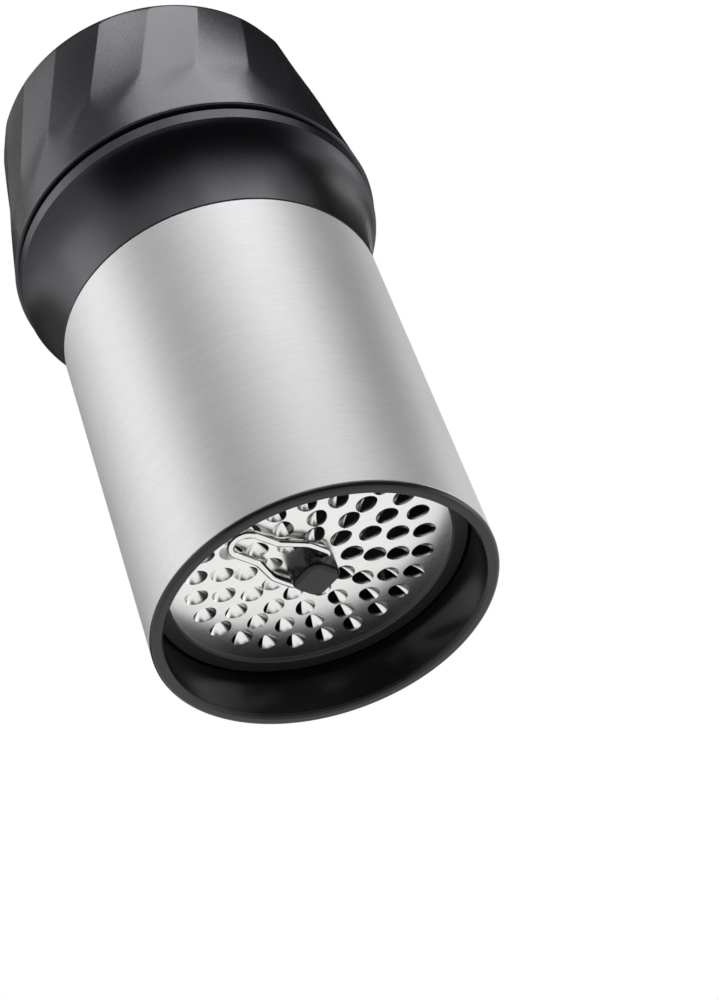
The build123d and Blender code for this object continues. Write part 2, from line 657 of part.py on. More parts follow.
def hub_screw():
    """Round-head screw from the cheese side into the hub."""
    head_low = DISC_TOP + HUB_WASHER
    head = rod(HUB_SCREW_HEAD_R, head_low, head_low + HUB_SCREW_HEAD)
    top_edge = head.edges().filter_by(GeomType.CIRCLE).sort_by(Axis.Z)[-1:]
    head = fillet(top_edge, 0.8)
    slot = Pos(0, 0, head_low + HUB_SCREW_HEAD) * Box(2 * HUB_SCREW_HEAD_R, 0.7, 1.2)
    return head - slot + rod(HUB_SCREW_R, HUB_SCREW_TIP, head_low + 0.2)


def bail_wire():
    """Folding wire loop for pulling the insert out."""
    pin_u = HUB_SIDE / 2 - BAIL_PIN_DEPTH
    half = [
        (-pin_u, 0),
        (-BAIL_LEG_U, 0),
        (-BAIL_LEG_U, -BAIL_LEG_D),
        (-BAIL_NECK_U, -BAIL_NECK_D),
        (-BAIL_NECK_U, -BAIL_LENGTH),
    ]
    points = half + [(-u, d) for u, d in reversed(half)]
    bends = [BAIL_BEND_R, BAIL_SWEEP_R, BAIL_SWEEP_R, BAIL_NECK_U - FIT_GAP]
    radii = bends + bends[::-1]
    path = rounded_path(points, radii)
    section = Plane(path @ 0, z_dir=path % 0) * Circle(BAIL_WIRE_R)
    wire = sweep(section, path=path)
    return Rot(0, 0, BAIL_AZIMUTH + 90) * Pos(0, 0, BAIL_Z) * wire


PIECES = (
    outer_sleeve,
    inner_liner,
    mouth_ring,
    collar_seal,
    collar,
    collar_bush,
    thrust_washer,
    knob_shell,
    drive_tube,
    retaining_clip,
    knob_screws,
    spring_guide,
    plunger_stem,
    stem_clip,
    pressure_plate,
    plate_prongs,
    plate_screw,
    pressure_spring,
    disc_carrier,
    carrier_seal,
    grater_disc,
    disc_clamp_ring,
    disc_hub,
    hub_washer,
    hub_screw,
    bail_wire,
)

for piece in PIECES:
    export_step(piece(), f"parts/{piece.__name__}.step")
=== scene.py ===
"""Looks of a rotary cheese grater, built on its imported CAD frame.

Sizes are in metres. Z runs along the axis, and the mouth is at z = 0.
"""

import logging
import math
from dataclasses import dataclass, field
from enum import Enum
from typing import Any, NamedTuple, Sequence

import bmesh
import bpy
from mathutils import Matrix, Quaternion, Vector
from mathutils.geometry import delaunay_2d_cdt


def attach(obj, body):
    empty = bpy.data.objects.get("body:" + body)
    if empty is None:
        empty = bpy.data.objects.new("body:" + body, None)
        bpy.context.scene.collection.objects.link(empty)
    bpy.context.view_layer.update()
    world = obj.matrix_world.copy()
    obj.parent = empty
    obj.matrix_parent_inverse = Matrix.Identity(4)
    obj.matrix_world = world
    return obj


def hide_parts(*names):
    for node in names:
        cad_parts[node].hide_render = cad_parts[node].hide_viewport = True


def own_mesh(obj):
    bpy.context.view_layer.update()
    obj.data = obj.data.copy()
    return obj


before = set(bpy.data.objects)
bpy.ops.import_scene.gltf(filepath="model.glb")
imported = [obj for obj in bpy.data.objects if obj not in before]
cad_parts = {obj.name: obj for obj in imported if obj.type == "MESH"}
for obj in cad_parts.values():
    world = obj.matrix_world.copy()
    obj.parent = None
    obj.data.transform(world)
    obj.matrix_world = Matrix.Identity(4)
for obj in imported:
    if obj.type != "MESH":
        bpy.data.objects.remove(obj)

log = logging.getLogger("cheese_grater")
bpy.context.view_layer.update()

# A corner is the radius, z and rounding of one point of a turned section.
Corner = tuple[float, float, float]
# A tooth is the x and y of its middle and the azimuth of its radius.
Tooth = tuple[float, float, float]
Point = tuple[float, float, float]
Face = tuple[int, ...]
Colour = tuple[float, float, float]

MM = 0.001
WHITE: Colour = (1.0, 1.0, 1.0)

# Divisions of turned pieces, and angles in degrees above which an edge stays sharp
ROUND_STEPS = 256
SHARP_EDGE = 35.0
WIRE_EDGE = 60.0

# Sizes that more than one sub-assembly takes up
SLEEVE_R = 30.0 * MM
PIN_Z = 9.6 * MM
HUB_TURN = math.radians(-33.0)


# Shader writing


class Sock:
    """One output socket of a shader graph, with arithmetic that adds Math nodes."""

    def __init__(self, graph: "Graph", socket: bpy.types.NodeSocket | None) -> None:
        """Keeps the socket and the graph it belongs to."""
        self.graph = graph
        self.socket = socket

    def _math(self, operation: str, first: Any, second: Any) -> "Sock":
        """Result of one Math node on two values or sockets."""
        return self.graph.node("ShaderNodeMath", {"operation": operation}, {0: first, 1: second})

    def __add__(self, other: Any) -> "Sock":
        """Sum."""
        return self._math("ADD", self, other)

    __radd__ = __add__

    def __sub__(self, other: Any) -> "Sock":
        """Difference."""
        return self._math("SUBTRACT", self, other)

    def __rsub__(self, other: Any) -> "Sock":
        """Difference, other way round."""
        return self._math("SUBTRACT", other, self)

    def __mul__(self, other: Any) -> "Sock":
        """Product."""
        return self._math("MULTIPLY", self, other)

    __rmul__ = __mul__

    def __truediv__(self, other: Any) -> "Sock":
        """Quotient."""
        return self._math("DIVIDE", self, other)

    def __rtruediv__(self, other: Any) -> "Sock":
        """Quotient, other way round."""
        return self._math("DIVIDE", other, self)

    def above(self, other: Any) -> "Sock":
        """The larger of this and another value."""
        return self._math("MAXIMUM", self, other)

    def below(self, other: Any) -> "Sock":
        """The smaller of this and another value."""
        return self._math("MINIMUM", self, other)


class Graph:
    """A node tree that is written from Python."""

    def __init__(self, tree: bpy.types.NodeTree) -> None:
        """Empties the tree and starts writing it."""
        self.tree = tree
        tree.nodes.clear()

    def node(
        self,
        kind: str,
        settings: dict[str, Any] | None = None,
        inputs: dict[int | str, Any] | None = None,
        out: int | str = 0,
    ) -> Sock:
        """Adds one node.

        Args:
            kind: the node's type name.
            settings: its properties, set first.
            inputs: values or sockets by input name or number.
            out: the output to return.

        Returns:
            The chosen output, wrapped, or an empty wrap where the node has none.
        """
        made = self.tree.nodes.new(kind)
        for key, value in (settings or {}).items():
            setattr(made, key, value)
        for key, value in (inputs or {}).items():
            if isinstance(value, Sock):
                self.tree.links.new(value.socket, made.inputs[key])
            else:
                made.inputs[key].default_value = value
        return Sock(self, made.outputs[out] if len(made.outputs) else None)

    def mix(self, share: Any, first: Any, second: Any) -> Sock:
        """Two colours mixed; the share of the second is a value or a socket."""
        # The colour sockets of a Mix node are its inputs 6 and 7 and its output 2.
        one, two = (c if isinstance(c, Sock) else (*c, 1.0) for c in (first, second))
        return self.node("ShaderNodeMix", {"data_type": "RGBA"}, {0: share, 6: one, 7: two}, 2)

    def place(self, stretch: Point = (1.0, 1.0, 1.0)) -> Sock:
        """Object coordinates, stretched along each axis."""
        spot = self.node("ShaderNodeTexCoord", out="Object")
        return self.node("ShaderNodeVectorMath", {"operation": "MULTIPLY"}, {0: spot, 1: stretch})

    def noise(self, where: Sock, scale: float, detail: float = 2.0, rough: float = 0.5) -> Sock:
        """Noise values from 0 to 1 at a place."""
        inputs = {"Vector": where, "Scale": scale, "Detail": detail, "Roughness": rough}
        return self.node("ShaderNodeTexNoise", None, inputs)

    def bump(self, height: Sock, depth: float) -> Sock:
        """Surface relief of a depth in metres."""
        inputs = {"Height": height, "Distance": depth, "Strength": 1.0}
        return self.node("ShaderNodeBump", None, inputs, "Normal")

    def surface(self, inputs: dict[str, Any]) -> None:
        """Ends the tree with one Principled surface."""
        shader = self.node("ShaderNodeBsdfPrincipled", None, inputs)
        self.node("ShaderNodeOutputMaterial", None, {"Surface": shader})


def painted(name: str) -> tuple[bpy.types.Material, Graph]:
    """Starts a material.

    Args:
        name: its name.

    Returns:
        The material and its empty graph.
    """
    made = bpy.data.materials.new(name)
    made.use_nodes = True
    return made, Graph(made.node_tree)


# Finishes


class BrushWay(Enum):
    """Which way the brushing lines of a metal run; the value stretches the noise along X, Y and Z."""

    AROUND = (480.0, 480.0, 7600.0)
    ALONG = (2500.0, 2500.0, 60.0)
    ACROSS = (150.0, 5200.0, 400.0)


@dataclass(frozen=True)
class Finish:
    """A surface finish that makes one material."""

    name: str
    colour: Colour
    roughness: float

    def material(self) -> bpy.types.Material:
        """Makes the material.

        Returns:
            The finished material.
        """
        made, graph = painted(self.name)
        graph.surface(self.inputs(graph))
        made.diffuse_color = (*self.colour, 1.0)
        return made

    def inputs(self, graph: Graph) -> dict[str, Any]:
        """Inputs of the Principled surface."""
        return {"Base Color": (*self.colour, 1.0), "Roughness": self.roughness}


@dataclass(frozen=True)
class BrushedMetal(Finish):
    """Metal with fine brushing lines, broader streaks and faint cloudiness."""

    way: BrushWay = BrushWay.AROUND
    contrast: float = 0.12
    relief: float = 0.000004
    stretch: float = 0.0
    turn: float = 0.0
    streak_scale: float = 0.32
    streak_share: float = 0.55
    cloud_scale: float = 55.0
    cloud_share: float = 0.35
    line_dulling: float = 0.10
    cloud_dulling: float = 0.06

    def inputs(self, graph: Graph) -> dict[str, Any]:
        """Inputs of the Principled surface.

        Args:
            graph: the material's graph.

        Returns:
            Values or sockets by input name.
        """
        broad = tuple(v * self.streak_scale for v in self.way.value)
        lines = graph.noise(graph.place(self.way.value), 1.0, 3.0, 0.65)
        streaks = graph.noise(graph.place(broad), 1.0)
        clouds = graph.noise(graph.place(), self.cloud_scale)
        shade = (lines - 0.5) + (streaks - 0.5) * self.streak_share + (clouds - 0.5) * self.cloud_share
        share = (0.5 + shade).above(0.0).below(1.0)
        dark = tuple(c * (1.0 - self.contrast) for c in self.colour)
        light = tuple(min(1.0, c * (1.0 + self.contrast)) for c in self.colour)
        dulling = (lines - 0.5) * self.line_dulling + (clouds - 0.5) * self.cloud_dulling
        return {
            "Base Color": graph.mix(share, dark, light),
            "Metallic": 1.0,
            "Roughness": self.roughness + dulling,
            "Anisotropic": self.stretch,
            "Anisotropic Rotation": self.turn,
            "Normal": graph.bump(lines + streaks, self.relief),
        }


@dataclass(frozen=True)
class MouldedPlastic(Finish):
    """Moulded plastic with a spark-eroded grain and faint handling marks."""

    grain: float = 5200.0
    relief: float = 0.000012
    shine: float = 0.5
    wear: float = 1.0
    tint: Colour = WHITE
    handling: float = 70.0
    handling_share: float = 0.6
    wear_gain: float = 0.5
    wear_lift: float = 0.004
    wear_dulling: float = 0.08
    grain_dulling: float = 0.10

    def inputs(self, graph: Graph) -> dict[str, Any]:
        """Inputs of the Principled surface.

        Args:
            graph: the material's graph.

        Returns:
            Values or sockets by input name.
        """
        spot = graph.place()
        grain = graph.noise(spot, self.grain, 2.0, 0.6)
        handling = graph.noise(spot, self.handling, 3.0, 0.55)
        gain, lift = 1.0 + self.wear_gain * self.wear, self.wear_lift * self.wear
        worn = tuple(min(1.0, c * gain + lift) for c in self.colour)
        marks = (handling - 0.5) * (self.wear_dulling * self.wear)
        share = handling * self.handling_share + grain * (1.0 - self.handling_share)
        return {
            "Base Color": graph.mix(share.below(1.0), self.colour, worn),
            "Roughness": self.roughness + (grain - 0.5) * self.grain_dulling + marks,
            "Specular IOR Level": self.shine,
            "Specular Tint": (*self.tint, 1.0),
            "Normal": graph.bump(grain, self.relief),
        }


@dataclass(frozen=True)
class SealRubber(Finish):
    """Soft rubber with a dusty bloom."""

    bloom: float = 420.0
    bloom_lift: float = 0.02
    bloom_dulling: float = 0.12
    grain: float = 2600.0
    relief: float = 0.00001

    def inputs(self, graph: Graph) -> dict[str, Any]:
        """Inputs of the Principled surface.

        Args:
            graph: the material's graph.

        Returns:
            Values or sockets by input name.
        """
        bloom = graph.noise(graph.place(), self.bloom, 3.0, 0.6)
        dusty = tuple(c + self.bloom_lift for c in self.colour)
        return {
            "Base Color": graph.mix(bloom, self.colour, dusty),
            "Roughness": self.roughness + (bloom - 0.5) * self.bloom_dulling,
            "Normal": graph.bump(graph.noise(graph.place(), self.grain), self.relief),
        }


COOL_SHINE: Colour = (0.89, 0.90, 1.0)
STEEL_SLEEVE = BrushedMetal("brushed_sleeve_steel", (0.70, 0.70, 0.71), 0.54, stretch=0.4, turn=0.25)
STEEL_DISC = BrushedMetal("grating_disc_steel", (0.84, 0.835, 0.82), 0.24, BrushWay.ACROSS, 0.06, 0.000002)
STEEL_WIRE = BrushedMetal("bail_wire_steel", (0.80, 0.79, 0.775), 0.16, BrushWay.ALONG, 0.06, 0.000001)
STEEL_SMALL = BrushedMetal("small_parts_steel", (0.66, 0.66, 0.66), 0.30, BrushWay.AROUND, 0.10)
STEEL_SPRING = BrushedMetal("spring_wire_steel", (0.52, 0.52, 0.53), 0.28, BrushWay.ALONG, 0.08)
BLACK_KNOB = MouldedPlastic(
    "knob_black_plastic", (0.004, 0.004, 0.006), 0.27, shine=0.68, wear=0.6, tint=COOL_SHINE
)
BLACK_COLLAR = MouldedPlastic(
    "collar_black_plastic", (0.002, 0.002, 0.003), 0.29, shine=0.55, wear=0.3, tint=COOL_SHINE
)
BLACK_MOUTH = MouldedPlastic(
    "mouth_black_plastic", (0.007, 0.007, 0.008), 0.30, relief=0.000006, shine=0.4
)
BLACK_LINER = MouldedPlastic(
    "liner_black_gloss", (0.003, 0.003, 0.003), 0.20, relief=0.000002, shine=0.22, wear=0.15
)
BLACK_CARRIER = MouldedPlastic("carrier_black_plastic", (0.012, 0.012, 0.013), 0.45, 3200.0, 0.00003)
BLACK_HUB = MouldedPlastic(
    "hub_black_plastic", (0.005, 0.005, 0.006), 0.28, relief=0.000006, shine=0.4, wear=0.4
)
BLACK_INNER = MouldedPlastic("inner_black_plastic", (0.016, 0.016, 0.017), 0.45)
WHITE_BEARING = MouldedPlastic("bearing_white_plastic", (0.74, 0.73, 0.69), 0.45)
BLACK_RUBBER = SealRubber("seal_black_rubber", (0.018, 0.018, 0.018), 0.72)


class Shop:
    """Keeps one material per finish."""

    def __init__(self) -> None:
        """Starts with no materials."""
        self.made: dict[str, bpy.types.Material] = {}

    def get(self, finish: Finish) -> bpy.types.Material:
        """The finish's material, made at its first use.

        Args:
            finish: the finish asked for.

        Returns:
            Its material.
        """
        if finish.name not in self.made:
            self.made[finish.name] = finish.material()
        return self.made[finish.name]

    def dress(self, finish: Finish, *nodes: str) -> None:
        """Gives CAD nodes their finish.

        Args:
            finish: the finish they get.
            nodes: the CAD nodes' names.
        """
        for node in nodes:
            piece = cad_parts[node]
            if not piece.material_slots:
                piece.data.materials.append(self.get(finish))
            for slot in piece.material_slots:
                slot.material = self.get(finish)
            log.info("dressed %s with %s", node, finish.name)


# Mesh making


def placed(name: str, data: bpy.types.ID) -> bpy.types.Object:
    """Makes an object and puts it in the scene.

    Args:
        name: its name.
        data: its mesh, lamp or camera.

    Returns:
        The new object.
    """
    made = bpy.data.objects.new(name, data)
    bpy.context.scene.collection.objects.link(made)
    return made


@dataclass
class Skin:
    """Points, faces and surface directions of one piece while it is made."""

    points: list[Point] = field(default_factory=list)
    faces: list[Face] = field(default_factory=list)
    normals: list[Point] = field(default_factory=list)

    @classmethod
    def turned(cls, corners: Sequence[Corner], steps: int = ROUND_STEPS) -> "Skin":
        """Starts a skin with a turned form.

        Args:
            corners: corners of its section, interior on the left.
            steps: divisions around the axis.

        Returns:
            The new skin.
        """
        skin = cls()
        outline = rounded(corners)
        count = len(outline)
        for step in range(steps):
            angle = 2 * math.pi * step / steps
            cos, sin = math.cos(angle), math.sin(angle)
            for radius, z, out, up in outline:
                skin.points.append((radius * cos, radius * sin, z))
                skin.normals.append((out * cos, out * sin, up))
            near, far = step * count, (step + 1) % steps * count
            for index in range(count):
                after = (index + 1) % count
                skin.faces.append((near + index, far + index, far + after, near + after))
        return skin

    def stack(self, rings: Sequence[Sequence[Point]]) -> None:
        """Adds a closed form from rings, with a face over its first and last.

        Args:
            rings: rings of equal count, in order.
        """
        start = len(self.points)
        count = len(rings[0])
        for level in rings:
            self.points += level
        last = start + (len(rings) - 1) * count
        for low in range(start, last, count):
            high = low + count
            for index in range(count):
                after = (index + 1) % count
                self.faces.append((low + index, low + after, high + after, high + index))
        self.faces.append(tuple(reversed(range(start, start + count))))
        self.faces.append(tuple(range(last, last + count)))

    def rod(self, radius: float, ends: tuple[float, float], turn: Matrix, z: float, steps: int = 40) -> None:
        """Adds a round rod.

        Args:
            radius: its radius.
            ends: where it starts and ends along its own axis.
            turn: how its axis is turned from upright.
            z: height of the point on the grater's axis that it is turned about.
            steps: divisions around it.
        """
        side, up, along = turn.col
        middle = Vector((0.0, 0.0, z))
        self.stack([ring(middle + along * end, side, up, radius, steps) for end in ends])

    def piece(
        self, name: str, material: bpy.types.Material, sharp: float = SHARP_EDGE
    ) -> bpy.types.Object:
        """Makes the piece.

        Args:
            name: the object's name.
            material: its material.
            sharp: angle in degrees above which an edge stays sharp, where no directions are given.

        Returns:
            The new object.
        """
        mesh = bpy.data.meshes.new(name)
        mesh.from_pydata(self.points, [], self.faces)
        mesh.update()
        mesh.shade_smooth()
        if len(self.normals) == len(self.points):
            mesh.normals_split_custom_set_from_vertices(self.normals)
        else:
            mesh.set_sharp_from_angle(angle=math.radians(sharp))
        mesh.materials.append(material)
        return placed(name, mesh)


def ring(centre: Vector, side: Vector, up: Vector, radius: float, steps: int) -> list[Point]:
    """Points round a circle, from its side direction toward its up direction."""
    ways = [2 * math.pi * step / steps for step in range(steps)]
    return [tuple(centre + (side * math.cos(way) + up * math.sin(way)) * radius) for way in ways]


def rounded(corners: Sequence[Corner], steps: int = 5) -> list[tuple[float, float, float, float]]:
    """Closed outline with rounded corners and its surface directions.

    Args:
        corners: corners of the outline, interior on the left; a negative rounding marks a point of
            a smooth curve.
        steps: divisions of each rounding.

    Returns:
        Radius, z and outward direction of each outline point.
    """
    made: list[tuple[float, float, float, float]] = []
    count = len(corners)
    for index, (r, z, rounding) in enumerate(corners):
        here = Vector((r, z))
        back = (Vector(corners[index - 1][:2]) - here).normalized()
        ahead = (Vector(corners[(index + 1) % count][:2]) - here).normalized()
        normal_in = Vector((-back.y, back.x))
        normal_out = Vector((ahead.y, -ahead.x))
        if rounding < 0:
            middle = (normal_in + normal_out).normalized()
            made.append((r, z, middle.x, middle.y))
            continue
        turn = normal_in.angle_signed(normal_out)
        reach = rounding * math.tan(abs(turn) / 2)
        arm = -rounding if turn < 0 else rounding
        centre = here + back * reach + normal_in * arm
        for step in range(steps + 1):
            normal = normal_in.copy()
            normal.rotate(Matrix.Rotation(-turn * step / steps, 2))
            spot = centre - normal * arm
            made.append((spot.x, spot.y, normal.x, normal.y))
    return made


def bend(points: Sequence[tuple[float, float]], steps: int) -> list[Corner]:
    """Inner points of a curve drawn toward its control points.

    Args:
        points: first point, control points and last point, each as radius and z.
        steps: divisions.

    Returns:
        Smooth corners between the two ends.
    """
    made = []
    last = len(points) - 1
    for step in range(1, steps):
        t = step / steps
        shares = [math.comb(last, k) * t**k * (1 - t) ** (last - k) for k in range(last + 1)]
        r, z = (sum(w * p[axis] for w, p in zip(shares, points)) for axis in (0, 1))
        made.append((r, z, -1.0))
    return made


def cut(piece: bpy.types.Object, holes: bpy.types.Object) -> None:
    """Cuts holes out of a piece and evens its shading.

    Args:
        piece: the piece to cut.
        holes: the forms to take out, which are used up.
    """
    bore = piece.modifiers.new("bore", "BOOLEAN")
    bore.object = holes
    bore.solver = "EXACT"
    bored = piece.evaluated_get(bpy.context.evaluated_depsgraph_get())
    mesh = bpy.data.meshes.new_from_object(bored)
    piece.modifiers.clear()
    piece.data = mesh
    mesh.shade_smooth()
    mesh.set_sharp_from_angle(angle=math.radians(SHARP_EDGE))
    piece.modifiers.new("even_shading", "WEIGHTED_NORMAL").keep_sharp = True
    bpy.data.objects.remove(holes)


def face_outward(piece: bpy.types.Object) -> None:
    """Turns all faces outward.

    Args:
        piece: a closed piece.
    """
    shape = bmesh.new()
    shape.from_mesh(piece.data)
    bmesh.ops.recalc_face_normals(shape, faces=shape.faces)
    shape.to_mesh(piece.data)
    shape.free()


def seat(piece: bpy.types.Object, body: str, slot: str, *nodes: str) -> None:
    """Rides a piece on its body, in place of CAD nodes if it stands for any.

    Args:
        piece: the new piece.
        body: the CAD body it moves with.
        slot: not used.
        nodes: the CAD nodes it stands for.
    """
    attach(piece, body)
    if nodes:
        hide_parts(*nodes)
    log.info("built %s on %s", piece.name, body)


# Sub-assemblies


@dataclass
class Casing:
    """Steel sleeve, liner and mouth ring."""

    shop: Shop
    sleeve_r: float = SLEEVE_R
    sleeve_wall: float = 0.8 * MM
    sleeve_low: float = 1.0 * MM
    sleeve_high: float = 70.0 * MM
    sleeve_edge: float = 0.18 * MM
    mouth_bore: float = 27.85 * MM
    mouth_round: float = 0.8 * MM
    mouth_edge: float = 0.08 * MM
    bevel: float = 0.4 * MM
    bevel_round: float = 0.15 * MM
    tongue_in: float = 28.25 * MM
    tongue_out: float = 28.75 * MM
    tongue_high: float = 3.9 * MM

    def build(self) -> None:
        """Builds and dresses the casing's pieces."""
        self.sleeve()
        self.mouth()
        self.shop.dress(BLACK_LINER, "inner_liner")
        self.shop.dress(BLACK_RUBBER, "collar_seal")

    def sleeve(self) -> None:
        """Brushed sleeve with eased edges."""
        inner = self.sleeve_r - self.sleeve_wall
        skin = Skin.turned(
            [
                (inner, self.sleeve_low, self.sleeve_edge),
                (self.sleeve_r, self.sleeve_low, self.sleeve_edge),
                (self.sleeve_r, self.sleeve_high, self.sleeve_edge),
                (inner, self.sleeve_high, self.sleeve_edge),
            ]
        )
        seat(skin.piece("sleeve", self.shop.get(STEEL_SLEEVE)), "casing", "sleeve_steel", "outer_sleeve")

    def mouth(self) -> None:
        """Mouth ring with a rounded rim and the tongue that holds it."""
        skin = Skin.turned(
            [
                (self.mouth_bore, self.bevel, self.bevel_round),
                (self.mouth_bore + self.bevel, 0.0, self.bevel_round),
                (self.sleeve_r, 0.0, self.mouth_round),
                (self.sleeve_r, self.sleeve_low, self.mouth_edge),
                (self.tongue_out, self.sleeve_low, self.mouth_edge),
                (self.tongue_out, self.tongue_high, self.mouth_edge),
                (self.tongue_in, self.tongue_high, self.mouth_edge),
                (self.tongue_in, self.sleeve_low, self.mouth_edge),
                (self.mouth_bore, self.sleeve_low, self.mouth_edge),
            ]
        )
        seat(skin.piece("mouth_rim", self.shop.get(BLACK_MOUTH)), "casing", "mouth_black", "mouth_ring")


@dataclass
class Head:
    """Flared collar and its bearing."""

    shop: Shop
    low: float = 70.2 * MM
    sleeve_r: float = SLEEVE_R
    bore: float = 28.45 * MM
    edge: float = 0.15 * MM
    # Radius and z of the points that draw the flare out from the sleeve, and of its end
    flare: tuple[tuple[float, float], ...] = (
        (SLEEVE_R, 79.0 * MM),
        (31.5 * MM, 85.4 * MM),
        (34.25 * MM, 87.6 * MM),
    )
    flare_steps: int = 28
    flare_round: float = 0.25 * MM
    rim_r: float = 34.35 * MM
    rim_high: float = 90.2 * MM
    rim_round: float = 0.3 * MM
    lip_r: float = 31.5 * MM
    lip_wall: float = 1.5 * MM
    lip_high: float = 92.1 * MM
    web_low: float = 86.0 * MM
    web_high: float = 89.0 * MM
    bush_r: float = 12.0 * MM
    key_low: float = 82.3 * MM
    key_in: float = 26.9 * MM
    key_half: float = 3.4 * MM
    key_sink: float = 0.4 * MM
    key_steps: int = 6

    def build(self) -> None:
        """Builds and dresses the head's pieces."""
        lip_in = self.lip_r - self.lip_wall
        skin = Skin.turned(
            [
                (self.bore, self.low, self.edge),
                (self.sleeve_r, self.low, self.edge),
                *bend([(self.sleeve_r, self.low), *self.flare], self.flare_steps),
                (*self.flare[-1], self.flare_round),
                (self.rim_r, self.rim_high, self.rim_round),
                (self.lip_r, self.rim_high, self.edge),
                (self.lip_r, self.lip_high, self.edge),
                (lip_in, self.lip_high, self.edge),
                (lip_in, self.web_high, self.edge),
                (self.bush_r, self.web_high, self.edge),
                (self.bush_r, self.web_low, self.edge),
                (self.bore, self.web_low, self.edge),
            ]
        )
        seat(skin.piece("flared_collar", self.shop.get(BLACK_COLLAR)), "head", "collar_black", "collar")
        keys = Skin()
        for at in (0.0, math.pi):
            keys.stack(self.key(at))
        seat(keys.piece("collar_keys", self.shop.get(BLACK_COLLAR)), "head", "collar_black")
        self.shop.dress(WHITE_BEARING, "collar_bush", "thrust_washer")

    def key(self, at: float) -> list[list[Point]]:
        """Rings of a key that bends round the axis and sinks into the collar.

        Args:
            at: azimuth of its middle, in radians.

        Returns:
            Its section at each step across its width.
        """
        outer, top = self.bore + self.key_sink, self.web_low + self.key_sink
        section = ((self.key_in, top), (outer, top), (outer, self.key_low), (self.key_in, self.key_low))
        rings = []
        for step in range(self.key_steps + 1):
            share = 2 * step / self.key_steps - 1
            level = []
            for radius, z in section:
                angle = at + share * math.asin(self.key_half / radius)
                level.append((radius * math.cos(angle), radius * math.sin(angle), z))
            rings.append(level)
        return rings


